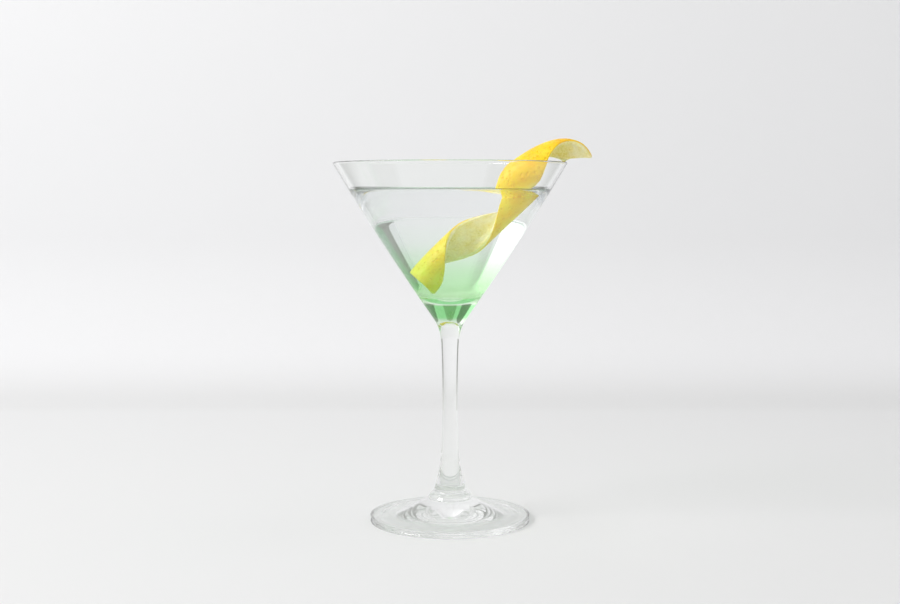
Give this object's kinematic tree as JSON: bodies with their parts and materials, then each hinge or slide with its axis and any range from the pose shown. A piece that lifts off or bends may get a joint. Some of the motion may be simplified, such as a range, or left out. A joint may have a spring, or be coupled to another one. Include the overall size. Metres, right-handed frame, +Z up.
{
  "type": "cocktail in a stemmed glass",
  "caption": "Clear green-tinted cocktail in a stemmed glass with a flared bowl, a round foot and a coiled strip of lemon peel laid over the rim.",
  "frame": {"origin": "centre of the foot's underside, on the glass's own axis", "axes": "+Z up along the stem, +X towards the side where the lemon peel leans over the rim, -Y towards the viewer"},
  "size_m": [0.1204, 0.11, 0.1806],
  "materials": {
    "glass": "clear, fire-polished",
    "drink": "clear liquid, green at the bottom",
    "lemon_peel": "dimpled waxy rind outside, pale pith inside"
  },
  "bodies": {
    "root": {"cocktail_glass": "glass", "drink": "drink", "lemon_twist": "lemon_peel"}
  },
  "joints": []
}
